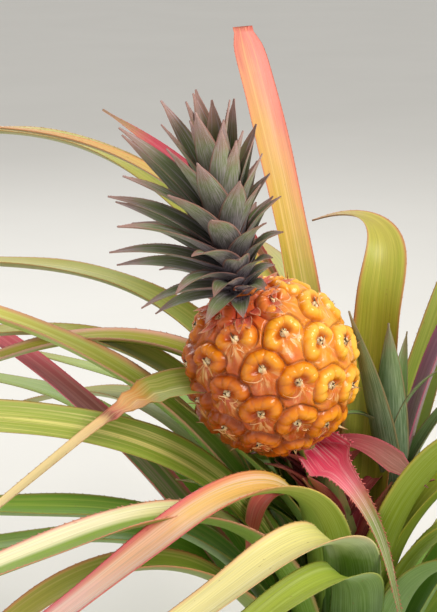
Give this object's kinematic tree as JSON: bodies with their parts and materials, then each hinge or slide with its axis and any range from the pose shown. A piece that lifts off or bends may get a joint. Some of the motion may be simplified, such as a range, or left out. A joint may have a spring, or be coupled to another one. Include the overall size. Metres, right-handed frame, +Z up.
{
  "type": "pineapple plant",
  "caption": "Whole fruiting pineapple plant: a short stem with a rosette of long channelled leaves, and a fruit with its leafy crown leaning out on a stalk.",
  "frame": {"origin": "centre of the flat cut under the stem, at ground level", "axes": "+Z up along the stem; the picture looks along +Y; the fruit leans towards -X and -Y"},
  "size_m": [1.012, 0.8959, 0.5126],
  "materials": {
    "stem": "dull brown stem with leaf scars",
    "stalk": "dull green-brown fibrous stalk",
    "fruit": "waxy ripe fruit skin with raised fruitlets",
    "leaf": "leathery satin leaf, green to yellow, with red margins",
    "crown": "stiff grey-green leaf with pinkish spiny edges",
    "bract": "satin pink bract with toothed edges",
    "sucker": "stiff grey-green young leaf with a pale bloom"
  },
  "bodies": {
    "root": {"bract_front_pink": "bract", "bract_left_hanging": "bract", "bract_right_pink": "bract", "crown": "crown", "fruit": "fruit", "fruit_stalk": "stalk", "leaf_arch_left_foot": "leaf", "leaf_arch_left_tip": "leaf", "leaf_back_left_arch": "leaf", "leaf_back_left_open": "leaf", "leaf_back_middle": "leaf", "leaf_back_open": "leaf", "leaf_back_upper": "leaf", "leaf_drooping_left_foot": "leaf", "leaf_drooping_left_tip": "leaf", "leaf_folded_left_foot": "leaf", "leaf_folded_left_tip": "leaf", "leaf_front_low_arch_foot": "leaf", "leaf_front_low_arch_tip": "leaf", "leaf_front_pink_foot": "leaf", "leaf_front_pink_tip": "leaf", "leaf_front_yellow_foot": "leaf", "leaf_front_yellow_tip": "leaf", "leaf_green_left": "leaf", "leaf_hooked_back_foot": "leaf", "leaf_hooked_back_tip": "leaf", "leaf_long_tip_left": "leaf", "leaf_low_back": "leaf", "leaf_low_back_right": "leaf", "leaf_low_front": "leaf", "leaf_low_left_back": "leaf", "leaf_low_right": "leaf", "leaf_low_right_back": "leaf", "leaf_olive_left": "leaf", "leaf_olive_right": "leaf", "leaf_olive_top_left": "leaf", "leaf_pale_left": "leaf", "leaf_pink_far_left": "leaf", "leaf_pink_tip_back": "leaf", "leaf_purple_right": "leaf", "leaf_right_front_green": "leaf", "leaf_right_low": "leaf", "leaf_right_middle": "leaf", "leaf_right_upper": "leaf", "leaf_shade_front_left": "leaf", "leaf_shade_left": "leaf", "leaf_spiny_right": "leaf", "leaf_striped_left": "leaf", "leaf_tall_orange": "leaf", "leaf_under_fruit": "leaf", "stem": "stem", "sucker": "sucker"}
  },
  "joints": []
}
